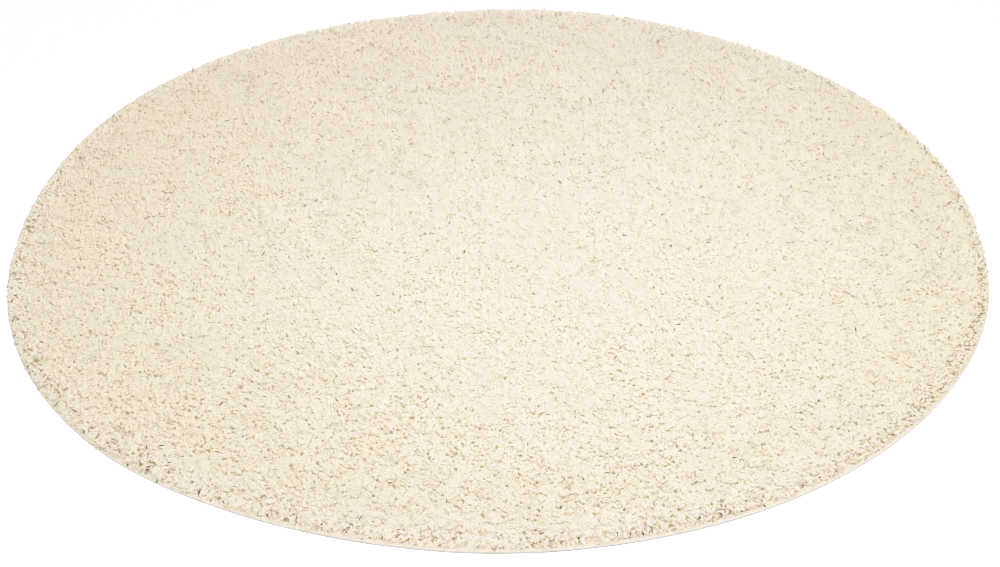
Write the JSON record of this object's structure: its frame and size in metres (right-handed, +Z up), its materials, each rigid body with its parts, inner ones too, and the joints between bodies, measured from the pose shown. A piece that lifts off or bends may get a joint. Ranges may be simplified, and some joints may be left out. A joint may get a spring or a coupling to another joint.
{
  "type": "round shag rug",
  "caption": "Round shag rug with a deep cut pile of cream yarn and an overcast binding round its edge, lying flat on the floor.",
  "frame": {"origin": "on the floor at the middle of the rug's outline", "axes": "+Z up through the pile, +Y towards the edge that is far away in the picture, +X to the picture's right"},
  "size_m": [1.2906, 1.2976, 0.0257],
  "materials": {
    "pile_yarn": "matt cream twisted yarn, cut ends, in a deep loose pile",
    "binding_yarn": "off-white yarn stitched closely over the cut edge",
    "ground_cloth": "plain pale woven ground on the underside"
  },
  "bodies": {
    "root": {"pile_cloth": "pile_yarn", "edge_binding": "binding_yarn"}
  },
  "joints": []
}
